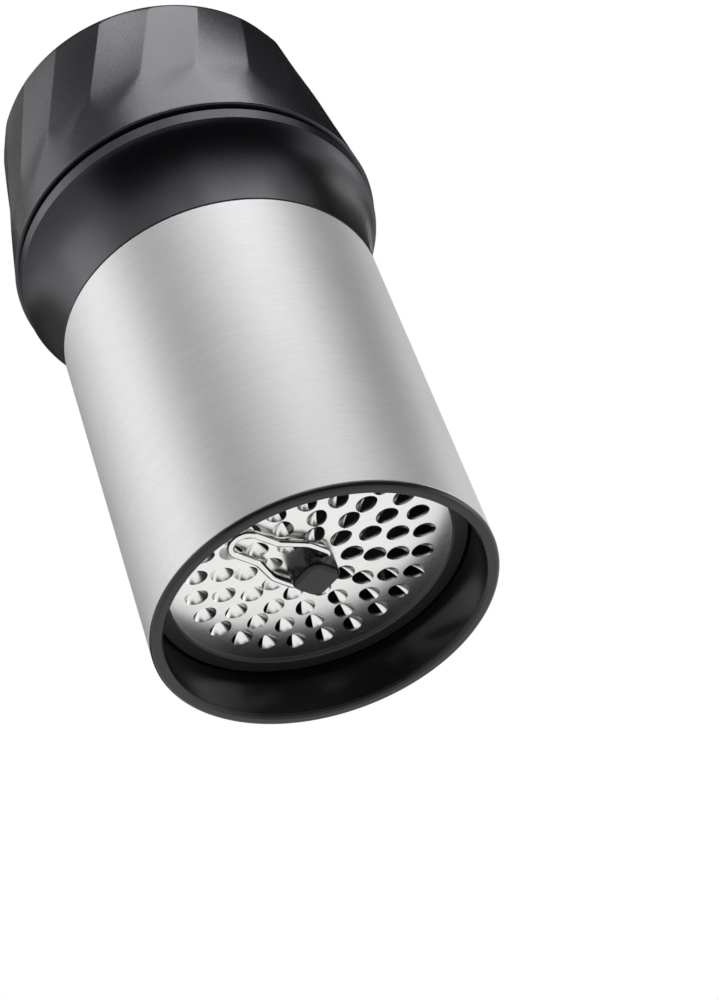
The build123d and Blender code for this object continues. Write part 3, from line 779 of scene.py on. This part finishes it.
@dataclass
class Knob:
    """Turning knob with slanted flats, and what hangs on it."""

    shop: Shop
    low: float = 90.95 * MM
    high: float = 130.0 * MM
    base_r: float = 34.95 * MM
    taper: float = 0.12
    top_round: float = 4.8 * MM
    wall: float = 2.4 * MM
    roof: float = 3.0 * MM
    ceiling_share: float = 0.35
    flats: int = 20
    flat_angle: float = math.radians(6.6)
    flat_twist: float = math.radians(0.5) / MM
    sharp_z: float = 107.0 * MM
    fade_z: float = 95.5 * MM
    soft: float = 0.025 * MM
    edge: float = 0.25 * MM
    edge_steps: int = 3
    side_steps: int = 56
    top_steps: int = 14
    crease: float = 40.0
    # Places of the points across one flat, closer toward its edges
    across: tuple[float, ...] = (-1.0, -0.97, -0.93, -0.85, -0.6, -0.3, 0.0, 0.3, 0.6, 0.85, 0.93, 0.97)
    # Share of the top's radius and drop of each ring of its shallow dish
    dish: tuple[tuple[float, float], ...] = (
        (0.9, 0.06 * MM),
        (0.8, 0.14 * MM),
        (0.65, 0.2 * MM),
        (0.4, 0.22 * MM),
        (0.15, 0.22 * MM),
    )

    def cone(self, z: float) -> float:
        """Cone radius at a height."""
        return self.base_r - self.taper * (z - self.low)

    def radius(self, z: float, round_r: float, off: float) -> float:
        """Outer radius at a height.

        Args:
            z: height.
            round_r: radius there without the flats.
            off: angle from the middle of the nearest flat.

        Returns:
            The radius, where flats cut the round form softly.
        """
        rise = max(0.0, min(1.0, (z - self.fade_z) / (self.sharp_z - self.fade_z)))
        share = rise * rise * (3 - 2 * rise)
        flat = self.cone(z) * (1 - share * (1 - math.cos(math.pi / self.flats)))
        gap = round_r - flat / math.cos(off)
        return round_r - 0.5 * (gap + math.sqrt(gap * gap + self.soft * self.soft))

    def rows(self) -> list[tuple[float, float]]:
        """Outline of the round form, from its lower edge up and over the top rounding.

        Returns:
            Pairs of height and radius.
        """
        made = []
        for step in range(self.edge_steps + 1):
            angle = math.pi / 2 * step / self.edge_steps
            z = self.low + self.edge * (1 - math.cos(angle))
            made.append((z, self.cone(self.low) - self.edge * (1 - math.sin(angle))))
        lean = math.atan(self.taper)
        centre_z = self.high - self.top_round
        centre_r = self.cone(centre_z) - self.top_round / math.cos(lean)
        start = self.low + self.edge
        end = centre_z + self.top_round * math.sin(lean)
        for step in range(1, self.side_steps + 1):
            z = start + (end - start) * step / self.side_steps
            made.append((z, self.cone(z)))
        for step in range(1, self.top_steps + 1):
            angle = lean + (math.pi / 2 - lean) * step / self.top_steps
            z = centre_z + self.top_round * math.sin(angle)
            made.append((z, centre_r + self.top_round * math.cos(angle)))
        return made

    def outside(self) -> list[list[Point]]:
        """Rings of the outside with its flats.

        Returns:
            One ring for each row, lowest first.
        """
        half = math.pi / self.flats
        columns = [(2 * half * flat, half * share) for flat in range(self.flats) for share in self.across]
        rings = []
        for z, round_r in self.rows():
            turn = self.flat_angle + half + self.flat_twist * (z - self.sharp_z)
            level = []
            for middle, off in columns:
                radius = self.radius(z, round_r, off)
                angle = middle + off + turn
                level.append((radius * math.cos(angle), radius * math.sin(angle), z))
            rings.append(level)
        return rings

    def hollow(self, foot: list[Point]) -> list[list[Point]]:
        """Round rings of the hollow, from its ceiling down.

        Args:
            foot: the outside's lowest ring, whose directions they share.

        Returns:
            The rings.
        """
        ceiling = self.high - self.roof
        top_r = self.cone(self.high)
        section = (
            (self.ceiling_share * (top_r - self.top_round), ceiling),
            (top_r - 2 * self.wall, ceiling),
            (self.cone(ceiling) - self.wall, self.high - 2 * self.roof),
            (self.cone(self.low) - self.wall, self.low),
        )
        return [
            [(r * x / math.hypot(x, y), r * y / math.hypot(x, y), z) for x, y, _ in foot]
            for r, z in section
        ]

    def build(self) -> None:
        """Builds and dresses the knob's pieces."""
        outside = self.outside()
        brim = outside[-1]
        top = [[(x * share, y * share, self.high - drop) for x, y, _ in brim] for share, drop in self.dish]
        skin = Skin()
        skin.stack(self.hollow(outside[0]) + outside + top)
        made = skin.piece("grip_knob", self.shop.get(BLACK_KNOB), self.crease)
        seat(made, "knob", "knob_black", "knob_shell")
        self.shop.dress(BLACK_INNER, "drive_tube", "spring_guide")
        self.shop.dress(STEEL_SMALL, "retaining_clip", "knob_screws")


@dataclass
class Plunger:
    """Stem, pressure plate, prongs and spring."""

    shop: Shop
    spring_low: float = 27.0 * MM
    spring_high: float = 121.0 * MM
    spring_r: float = 4.3 * MM
    spring_wire: float = 0.45 * MM
    spring_turns: int = 22
    turn_steps: int = 36
    wire_steps: int = 14
    travel: float = 42.0 * MM

    def build(self) -> None:
        """Builds and dresses the plunger's pieces."""
        self.spring()
        self.shop.dress(BLACK_INNER, "plunger_stem", "pressure_plate")
        self.shop.dress(STEEL_SMALL, "stem_clip", "plate_prongs", "plate_screw")

    def spring(self) -> None:
        """Coil spring at one length, riding on the plunger with a mesh of its own."""
        low = self.spring_low + self.spring_wire
        length = self.spring_high - self.spring_low
        rise = length - 2 * self.spring_wire
        steps = self.turn_steps * self.spring_turns
        pitch = rise / (2 * math.pi * self.spring_turns)
        loops = []
        for step in range(steps + 1):
            angle = 2 * math.pi * self.spring_turns * step / steps
            out = Vector((math.cos(angle), math.sin(angle), 0.0))
            ahead = Vector((-out.y * self.spring_r, out.x * self.spring_r, pitch)).normalized()
            centre = out * self.spring_r + Vector((0.0, 0.0, low + rise * step / steps))
            loops.append(ring(centre, out, ahead.cross(out), self.spring_wire, self.wire_steps))
        skin = Skin()
        skin.stack(loops)
        made = skin.piece("coil_spring", self.shop.get(STEEL_SPRING), WIRE_EDGE)
        seat(made, "plunger", "spring_steel", "pressure_spring")
        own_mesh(made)


@dataclass
class Insert:
    """Grating disc, its carrier and the hub."""

    shop: Shop
    disc_r: float = 26.0 * MM
    sheet_z: float = 11.0 * MM
    sheet: float = 0.6 * MM
    screw_hole: float = 1.3 * MM
    rim_steps: int = 240
    hole_steps: int = 32
    # Radius and divisions of level circles that keep the sheet's mesh even
    even_circles: tuple[tuple[float, int], ...] = (
        (24.6 * MM, 200),
        (23.2 * MM, 180),
        (22.4 * MM, 170),
        (4.2 * MM, 40),
        (2.6 * MM, 36),
    )
    weld: float = 1e-9
    disc_crease: float = 26.0
    # Radius, number of teeth and first azimuth in degrees of each ring
    tooth_rings: tuple[tuple[float, int, float], ...] = (
        (20.0 * MM, 24, -5.0),
        (15.5 * MM, 18, -35.0),
        (11.3 * MM, 12, -37.0),
        (7.2 * MM, 9, 14.0),
    )
    tooth_r: float = 2.05 * MM
    tooth_high: float = 1.5 * MM
    tooth_front: float = 1.45 * MM
    tooth_steps: int = 32
    hood_power: float = 0.9
    hood_lean: float = 0.12
    hood_shares: tuple[float, ...] = (0.93, 0.84, 0.73, 0.6, 0.46, 0.3, 0.15)
    carrier_r: float = 27.79 * MM
    carrier_low: float = 10.2 * MM
    carrier_high: float = 18.0 * MM
    carrier_bevel: float = 0.3 * MM
    carrier_edge: float = 0.1 * MM
    carrier_steps: int = 240
    lip_r: float = 24.8 * MM
    lip_wall: float = 0.2 * MM
    lip_round: float = 0.06 * MM
    seat_r: float = 26.05 * MM
    seat_round: float = 0.03 * MM
    groove_r: float = 26.97 * MM
    groove_low: float = 13.9 * MM
    groove_high: float = 15.2 * MM
    hub_low: float = 6.7 * MM
    hub_half: float = 3.5 * MM
    hub_corner: float = 2.0 * MM
    corner_steps: int = 8
    hub_round: float = 1.0 * MM
    round_steps: int = 7
    hub_turn: float = HUB_TURN
    pin_z: float = PIN_Z
    pin_hole: float = 0.76 * MM
    pin_start: float = 1.6 * MM
    hub_screw: float = 1.25 * MM
    screw_low: float = 7.6 * MM

    @property
    def disc_low(self) -> float:
        """Height of the sheet's lower face."""
        return self.sheet_z - self.sheet / 2

    def build(self) -> None:
        """Builds and dresses the insert's pieces."""
        self.grating()
        self.carrier()
        self.hub()
        self.shop.dress(BLACK_RUBBER, "carrier_seal")
        self.shop.dress(BLACK_CARRIER, "disc_clamp_ring")
        self.shop.dress(STEEL_SMALL, "hub_washer", "hub_screw")

    def teeth(self) -> list[Tooth]:
        """Middle of each scoop tooth and the way it faces.

        Returns:
            X, y and the azimuth of its radius.
        """
        made = []
        for radius, count, start in self.tooth_rings:
            for index in range(count):
                angle = math.radians(start + 360.0 * index / count)
                made.append((radius * math.cos(angle), radius * math.sin(angle), angle))
        return made

    def circle(
        self, points: list[Point], radius: float, steps: int, tooth: Tooth = (0.0, 0.0, 0.0)
    ) -> list[int]:
        """Adds a level circle to the sheet.

        Args:
            points: points of the sheet so far.
            radius: the circle's radius.
            steps: divisions around it.
            tooth: its middle, and the azimuth it starts at.

        Returns:
            The numbers of its points.
        """
        x, y, start = tooth
        first = len(points)
        for step in range(steps):
            angle = start + 2 * math.pi * step / steps
            points.append((x + radius * math.cos(angle), y + radius * math.sin(angle), self.sheet_z))
        return list(range(first, first + steps))

    def grating(self) -> None:
        """Sheet disc with rings of scoop teeth pressed out of it."""
        points: list[Point] = []
        teeth = self.teeth()
        rim = self.circle(points, self.disc_r, self.rim_steps)
        hole = self.circle(points, self.screw_hole, self.hole_steps)
        loops = [self.circle(points, self.tooth_r, self.tooth_steps, tooth) for tooth in teeth]
        for radius, steps in self.even_circles:
            self.circle(points, radius, steps)
        edges = [(a, b) for loop in (rim, hole, *loops) for a, b in zip(loop, loop[1:] + loop[:1])]
        flat = [Vector(point[:2]) for point in points]
        # Kind 0 fills the whole outline with triangles.
        _, _, cells, sources, _, _ = delaunay_2d_cdt(flat, edges, [], 0, self.weld)
        openings = [set(loop) for loop in (hole, *loops)]
        faces: list[Face] = []
        for cell in cells:
            corners = tuple(sources[spot][0] for spot in cell)
            if not any(opening.issuperset(corners) for opening in openings):
                faces.append(corners)
        for loop, tooth in zip(loops, teeth):
            self.scoop(points, faces, loop, tooth)
        skin = self.thicken(points, faces)
        made = skin.piece("grating_plate", self.shop.get(STEEL_DISC), self.disc_crease)
        seat(made, "insert", "disc_steel", "grater_disc")

    def hood(self, share: float) -> float:
        """Height of a scoop's hood at a share of its radius."""
        drop = math.cos(math.pi / 2 * min(1.0, share)) ** self.hood_power
        return self.tooth_high * drop * (1 - self.hood_lean * share)

    def scoop(self, points: list[Point], faces: list[Face], loop: list[int], tooth: Tooth) -> None:
        """Adds one scoop: a half dome behind its cut and a level apron in front.

        Args:
            points: points of the sheet so far.
            faces: faces of the sheet so far.
            loop: the scoop's outline, from its outer end round by its opening.
            tooth: its middle and the azimuth of its radius.
        """
        x, y, angle = tooth
        half = self.tooth_steps // 2
        rows = [loop[half:] + [loop[0]]]
        for share in self.hood_shares:
            first = len(points)
            radius, z = share * self.tooth_r, self.sheet_z + self.hood(share)
            for step in range(half + 1):
                way = angle + math.pi + math.pi * step / half
                points.append((x + radius * math.cos(way), y + radius * math.sin(way), z))
            rows.append(list(range(first, first + half + 1)))
        peak = len(points)
        points.append((x, y, self.sheet_z + self.hood(0.0)))
        for outer, inner in zip(rows, rows[1:]):
            faces.extend(zip(outer, outer[1:], inner[1:], inner))
        faces.extend((a, b, peak) for a, b in zip(rows[-1], rows[-1][1:]))
        apron = []
        for step in range(1, half):
            way = math.pi * step / half
            side, ahead = math.cos(way) / self.tooth_r, math.sin(way) / self.tooth_front
            reach = 1 / math.sqrt(side**2 + ahead**2)
            out = angle + way
            apron.append(len(points))
            points.append((x + reach * math.cos(out), y + reach * math.sin(out), self.sheet_z))
        front = loop[: half + 1]
        cut_edge = [front[0], *apron, front[-1]]
        for quad in zip(front, front[1:], cut_edge[1:], cut_edge):
            faces.append(tuple(dict.fromkeys(quad)))

    def thicken(self, points: list[Point], faces: list[Face]) -> Skin:
        """Gives a sheet its thickness, straight up and down.

        Args:
            points: points of the sheet's middle.
            faces: faces of the middle, seen from above.

        Returns:
            The closed sheet.
        """
        count = len(points)
        skin = Skin()
        for side in (0.5, -0.5):
            skin.points += [(x, y, z + side * self.sheet) for x, y, z in points]
        runs = {(face[i - 1], face[i]) for face in faces for i in range(len(face))}
        for face in faces:
            skin.faces.append(face)
            skin.faces.append(tuple(count + i for i in reversed(face)))
        for a, b in runs:
            if (b, a) not in runs:
                skin.faces.append((count + a, count + b, b, a))
        return skin

    def carrier(self) -> None:
        """Holder ring with the lip that frames the disc."""
        edge, bevel = self.carrier_edge, self.carrier_bevel
        skin = Skin.turned(
            [
                (self.lip_r, self.disc_low - self.lip_wall, self.lip_round),
                (self.lip_r + bevel, self.carrier_low, edge),
                (self.carrier_r - bevel, self.carrier_low, edge),
                (self.carrier_r, self.carrier_low + bevel, edge),
                (self.carrier_r, self.groove_low, edge),
                (self.groove_r, self.groove_low, edge),
                (self.groove_r, self.groove_high, edge),
                (self.carrier_r, self.groove_high, edge),
                (self.carrier_r, self.carrier_high, edge),
                (self.seat_r, self.carrier_high, edge),
                (self.seat_r, self.disc_low, self.seat_round),
                (self.lip_r, self.disc_low, self.seat_round),
            ],
            self.carrier_steps,
        )
        made = skin.piece("disc_holder", self.shop.get(BLACK_CARRIER))
        seat(made, "insert", "carrier_black", "disc_carrier")

    def hub(self) -> None:
        """Hub block with rounded edges, two pin holes for the bail and a screw hole."""
        levels = []
        for step in range(self.round_steps, -1, -1):
            angle = math.pi / 2 * step / self.round_steps
            inset = self.hub_round * (1 - math.cos(angle))
            levels.append(self.square(self.hub_low + self.hub_round * (1 - math.sin(angle)), inset))
        block = Skin()
        block.stack([*levels, self.square(self.disc_low, 0.0)])
        holes = Skin()
        for way in (0.0, math.pi):
            lying = Matrix.Rotation(self.hub_turn + way, 3, "Z") @ Matrix.Rotation(math.pi / 2, 3, "Y")
            holes.rod(self.pin_hole, (self.pin_start, 2 * self.hub_half), lying, self.pin_z)
        holes.rod(self.hub_screw, (self.screw_low, self.disc_low + MM), Matrix.Identity(3), 0.0)
        made = block.piece("hub_block", self.shop.get(BLACK_HUB))
        cut(made, holes.piece("hub_holes", self.shop.get(BLACK_HUB)))
        seat(made, "insert", "hub_black", "disc_hub")

    def square(self, z: float, inset: float) -> list[Point]:
        """Level outline of the hub.

        Args:
            z: its height.
            inset: how far it lies inside the hub's sides.

        Returns:
            Points round a square with round corners.
        """
        made = []
        centre = self.hub_half - self.hub_corner
        reach = self.hub_corner - inset
        for corner in range(4):
            quarter = Matrix.Rotation(self.hub_turn + math.pi / 2 * corner, 2)
            for step in range(self.corner_steps + 1):
                angle = math.pi / 2 * step / self.corner_steps
                spot = quarter @ Vector((centre + reach * math.cos(angle), centre + reach * math.sin(angle)))
                made.append((spot.x, spot.y, z))
        return made


@dataclass
class Bail:
    """Folding wire loop on the hub."""

    shop: Shop
    azimuth: float = HUB_TURN - math.pi / 2
    pin_z: float = PIN_Z
    wire_r: float = 0.7 * MM
    wire_steps: int = 20
    pin: float = 1.7 * MM
    pin_bend: float = 0.9 * MM
    leg: float = 4.5 * MM
    leg_end: float = 5.2 * MM
    leg_bend: float = 4.0 * MM
    neck: float = 2.6 * MM
    neck_start: float = 10.2 * MM
    length: float = 17.6 * MM
    tip_ease: float = 0.05 * MM
    bend_step: float = 7.0
    least_steps: int = 4
    end_sizes: tuple[float, ...] = (0.55, 0.85)
    end_bulge: float = 0.25

    def line(self) -> list[Vector]:
        """Middle line of the wire in its own plane, across and along.

        Returns:
            Points along the wire.
        """
        half = [
            (-self.pin, 0.0, 0.0),
            (-self.leg, 0.0, self.pin_bend),
            (-self.leg, -self.leg_end, self.leg_bend),
            (-self.neck, -self.neck_start, self.leg_bend),
            (-self.neck, -self.length, self.neck - self.tip_ease),
        ]
        corners = half + [(-u, d, r) for u, d, r in reversed(half)]
        made = [Vector(corners[0][:2])]
        for before, corner, after in zip(corners, corners[1:], corners[2:]):
            here = Vector(corner[:2])
            back = (Vector(before[:2]) - here).normalized()
            ahead = (Vector(after[:2]) - here).normalized()
            opening = back.angle(ahead)
            reach = corner[2] / math.tan(opening / 2)
            centre = here + (back + ahead).normalized() * (corner[2] / math.sin(opening / 2))
            start = here + back * reach - centre
            turn = start.angle_signed(here + ahead * reach - centre)
            steps = max(self.least_steps, int(abs(math.degrees(turn)) / self.bend_step))
            for step in range(steps + 1):
                spoke = start.copy()
                spoke.rotate(Matrix.Rotation(-turn * step / steps, 2))
                made.append(centre + spoke)
        made.append(Vector(corners[-1][:2]))
        return made

    def spots(self) -> list[tuple[Vector, Vector, float]]:
        """Middle line with blunt ends.

        Returns:
            Place, direction and share of the wire's thickness at each point.
        """
        line = self.line()
        made = []
        for index, spot in enumerate(line):
            way = (line[min(index + 1, len(line) - 1)] - line[max(index - 1, 0)]).normalized()
            made.append((spot, way, 1.0))
        (start, first, _), (end, last, _) = made[0], made[-1]
        caps = [(self.end_bulge * self.wire_r * (1 - size), size) for size in self.end_sizes]
        head = [(start - first * out, first, size) for out, size in caps]
        tail = [(end + last * out, last, size) for out, size in reversed(caps)]
        return head + made + tail

    def build(self) -> None:
        """Builds and dresses the wire."""
        across = Vector((math.sin(self.azimuth), -math.cos(self.azimuth), 0.0))
        along = Vector((math.cos(self.azimuth), math.sin(self.azimuth), 0.0))
        up = Vector((0.0, 0.0, 1.0))
        loops = []
        for spot, way, size in self.spots():
            centre = across * spot.x + along * -spot.y + up * self.pin_z
            side = across * way.y + along * way.x
            loops.append(ring(centre, side, up, self.wire_r * size, self.wire_steps))
        skin = Skin()
        skin.stack(loops)
        made = skin.piece("wire_bail", self.shop.get(STEEL_WIRE), WIRE_EDGE)
        face_outward(made)
        seat(made, "bail", "wire_steel", "bail_wire")


# Studio


class Spot(NamedTuple):
    """Where a lamp or card stands, its size, and how bright the lamp or how pale the card is."""

    azimuth: float
    elevation: float
    width: float
    height: float
    level: float


class LampSpot(Enum):
    """Soft lamps."""

    KEY = Spot(-45.0, 58.0, 0.56, 0.52, 2.55)
    FRONT = Spot(-91.0, 58.0, 0.16, 0.36, 1.5)
    SIDE = Spot(-160.0, 40.0, 0.42, 0.40, 1.05)
    RIM = Spot(20.0, -8.0, 0.30, 0.46, 2.0)


class CardSpot(Enum):
    """Dark cards for the glossy surfaces to mirror."""

    LOW_LEFT = Spot(-98.0, -7.0, 1.10, 1.45, 0.01)
    LOW_RIGHT = Spot(-38.0, -8.0, 1.10, 1.40, 0.01)
    HIGH = Spot(-134.0, 69.0, 0.36, 0.34, 0.20)
    RIGHT = Spot(38.0, 58.0, 0.70, 0.68, 0.02)
    LEFT = Spot(134.0, 25.0, 0.62, 0.95, 0.12)
    LEFT_HIGH = Spot(138.0, 66.0, 0.44, 0.40, 0.30)
    BACK = Spot(92.0, 58.0, 0.62, 0.62, 0.02)
    TOP = Spot(-86.0, 88.0, 0.66, 0.56, 0.02)
    FRONT_LEFT = Spot(-108.0, 28.0, 0.46, 0.24, 0.04)
    RIGHT_LOW = Spot(4.0, 30.0, 0.40, 0.34, 0.03)
    RIGHT_BACK = Spot(54.0, 23.0, 0.34, 0.32, 0.30)


def towards(azimuth: float, elevation: float) -> Vector:
    """Direction at an azimuth and an elevation in degrees."""
    turn, lift = math.radians(azimuth), math.radians(elevation)
    return Vector((math.cos(lift) * math.cos(turn), math.cos(lift) * math.sin(turn), math.sin(lift)))


@dataclass
class Studio:
    """Floor, backdrop, lamps, cards and camera; angles in degrees."""

    floor_size: float = 2.4
    floor_parts: int = 8
    floor_z: float = -0.3 * MM
    floor_dark: Colour = (0.80, 0.80, 0.80)
    floor_light: Colour = (0.84, 0.84, 0.84)
    floor_patches: float = 9.0
    fade_start: float = 0.15
    fade_width: float = 0.65
    light_below: Colour = (0.5, 0.5, 0.5)
    light_above: Colour = (0.75, 0.75, 0.75)
    aim: Point = (0.0, 0.0, 65.0 * MM)
    distance: float = 0.9
    camera_at: Point = (0.02069, -0.30883, -0.23370)
    camera_azimuth: float = -88.29003
    camera_elevation: float = -39.3367
    camera_roll: float = -21.1981
    lens: float = 84.46
    sensor: float = 36.0
    nearest: float = 0.01

    def build(self) -> None:
        """Builds the studio."""
        self.floor()
        self.backdrop()
        for lamp in LampSpot:
            self.lamp(lamp.name.lower(), lamp.value)
        for card in CardSpot:
            self.card(f"{card.name.lower()}_card", card.value)
        self.camera()

    def floor(self) -> None:
        """Pale floor that neither shades nor lights the object."""
        parts = self.floor_parts
        shape = bmesh.new()
        bmesh.ops.create_grid(shape, x_segments=parts, y_segments=parts, size=self.floor_size / 2)
        mesh = bpy.data.meshes.new("floor")
        shape.to_mesh(mesh)
        shape.free()
        mesh.materials.append(self.floor_paint())
        floor = placed("floor", mesh)
        floor.location.z = self.floor_z
        floor.visible_shadow = False
        floor.visible_diffuse = False
        floor.visible_glossy = False
        floor.visible_transmission = False

    def floor_paint(self) -> bpy.types.Material:
        """Pale paint that shows only from above and clears toward the floor's rim.

        Returns:
            The floor's material.
        """
        paint, graph = painted("pale_floor")
        patches = graph.noise(graph.place(), self.floor_patches)
        tone = graph.mix(patches, self.floor_dark, self.floor_light)
        inputs = {"Base Color": tone, "Roughness": 0.9, "Specular IOR Level": 0.0}
        pale = graph.node("ShaderNodeBsdfPrincipled", None, inputs)
        clear = graph.node("ShaderNodeBsdfTransparent")
        under = graph.node("ShaderNodeNewGeometry", out="Backfacing")
        reach = graph.node("ShaderNodeVectorMath", {"operation": "LENGTH"}, {0: graph.place()}, "Value")
        fade = ((reach - self.fade_start) / self.fade_width).above(0.0).below(1.0)
        fade = fade * fade * (3.0 - 2.0 * fade)
        mixed = graph.node("ShaderNodeMixShader", None, {0: under.above(fade), 1: pale, 2: clear})
        graph.node("ShaderNodeOutputMaterial", None, {"Surface": mixed})
        return paint

    def backdrop(self) -> None:
        """White surround that is seen and mirrored, and softer light from all sides."""
        world = bpy.data.worlds.new("studio")
        bpy.context.scene.world = world
        world.use_nodes = True
        graph = Graph(world.node_tree)
        way = graph.node("ShaderNodeTexCoord", out="Generated")
        up = graph.node("ShaderNodeSeparateXYZ", None, {0: way}, "Z")
        soft = graph.mix(up * 0.5 + 0.5, self.light_below, self.light_above)
        looked, mirrored, through = (
            graph.node("ShaderNodeLightPath", out=f"Is {ray} Ray")
            for ray in ("Camera", "Glossy", "Transmission")
        )
        colour = graph.mix((looked + mirrored + through).below(1.0), soft, WHITE)
        light = graph.node("ShaderNodeBackground", None, {"Color": colour, "Strength": 1.0})
        graph.node("ShaderNodeOutputWorld", None, {"Surface": light})

    def stand(self, name: str, data: bpy.types.ID, spot: Spot) -> bpy.types.Object:
        """Stands a lamp or card round the object, facing it and out of the camera's sight.

        Args:
            name: its name.
            data: its lamp or mesh.
            spot: where it stands.

        Returns:
            The lamp or card.
        """
        out = towards(spot.azimuth, spot.elevation)
        made = placed(name, data)
        made.location = Vector(self.aim) + out * self.distance
        made.rotation_euler = out.to_track_quat("Z", "Y").to_euler()
        made.visible_camera = False
        return made

    def card(self, name: str, spot: Spot) -> None:
        """Adds one dark card that only reflections show.

        Args:
            name: its name.
            spot: where it stands, its size and its tone.
        """
        mesh = bpy.data.meshes.new(name)
        x, y = spot.width / 2, spot.height / 2
        mesh.from_pydata([(-x, -y, 0.0), (x, -y, 0.0), (x, y, 0.0), (-x, y, 0.0)], [], [(0, 1, 2, 3)])
        paint, graph = painted(name)
        tone = (spot.level, spot.level, spot.level, 1.0)
        graph.surface({"Base Color": tone, "Roughness": 1.0, "Specular IOR Level": 0.0})
        mesh.materials.append(paint)
        made = self.stand(name, mesh, spot)
        made.visible_shadow = False
        made.visible_diffuse = False

    def lamp(self, name: str, spot: Spot) -> None:
        """Adds one soft lamp.

        Args:
            name: its name.
            spot: where it stands, its size and its brightness.
        """
        lamp = bpy.data.lights.new(name, "AREA")
        lamp.shape = "RECTANGLE"
        lamp.size = spot.width
        lamp.size_y = spot.height
        lamp.energy = spot.level * math.pi * spot.width * spot.height
        self.stand(name, lamp, spot)

    def camera(self) -> None:
        """Camera that looks up at the mouth from below."""
        lens = bpy.data.cameras.new("camera")
        lens.lens = self.lens
        lens.sensor_width = self.sensor
        lens.clip_start = self.nearest
        made = placed("camera", lens)
        back = towards(self.camera_azimuth, self.camera_elevation)
        roll = Quaternion((0.0, 0.0, 1.0), math.radians(self.camera_roll))
        turn = back.to_track_quat("Z", "Y") @ roll
        made.matrix_world = Matrix.LocRotScale(Vector(self.camera_at), turn, None)
        bpy.context.scene.camera = made


def main() -> None:
    """Builds every sub-assembly and the studio."""
    logging.basicConfig(level=logging.INFO, format="%(message)s")
    bpy.context.scene.view_settings.view_transform = "Standard"
    shop = Shop()
    for assembly in (Casing, Head, Knob, Plunger, Insert, Bail):
        assembly(shop).build()
    Studio().build()


if __name__ == "__main__":
    main()
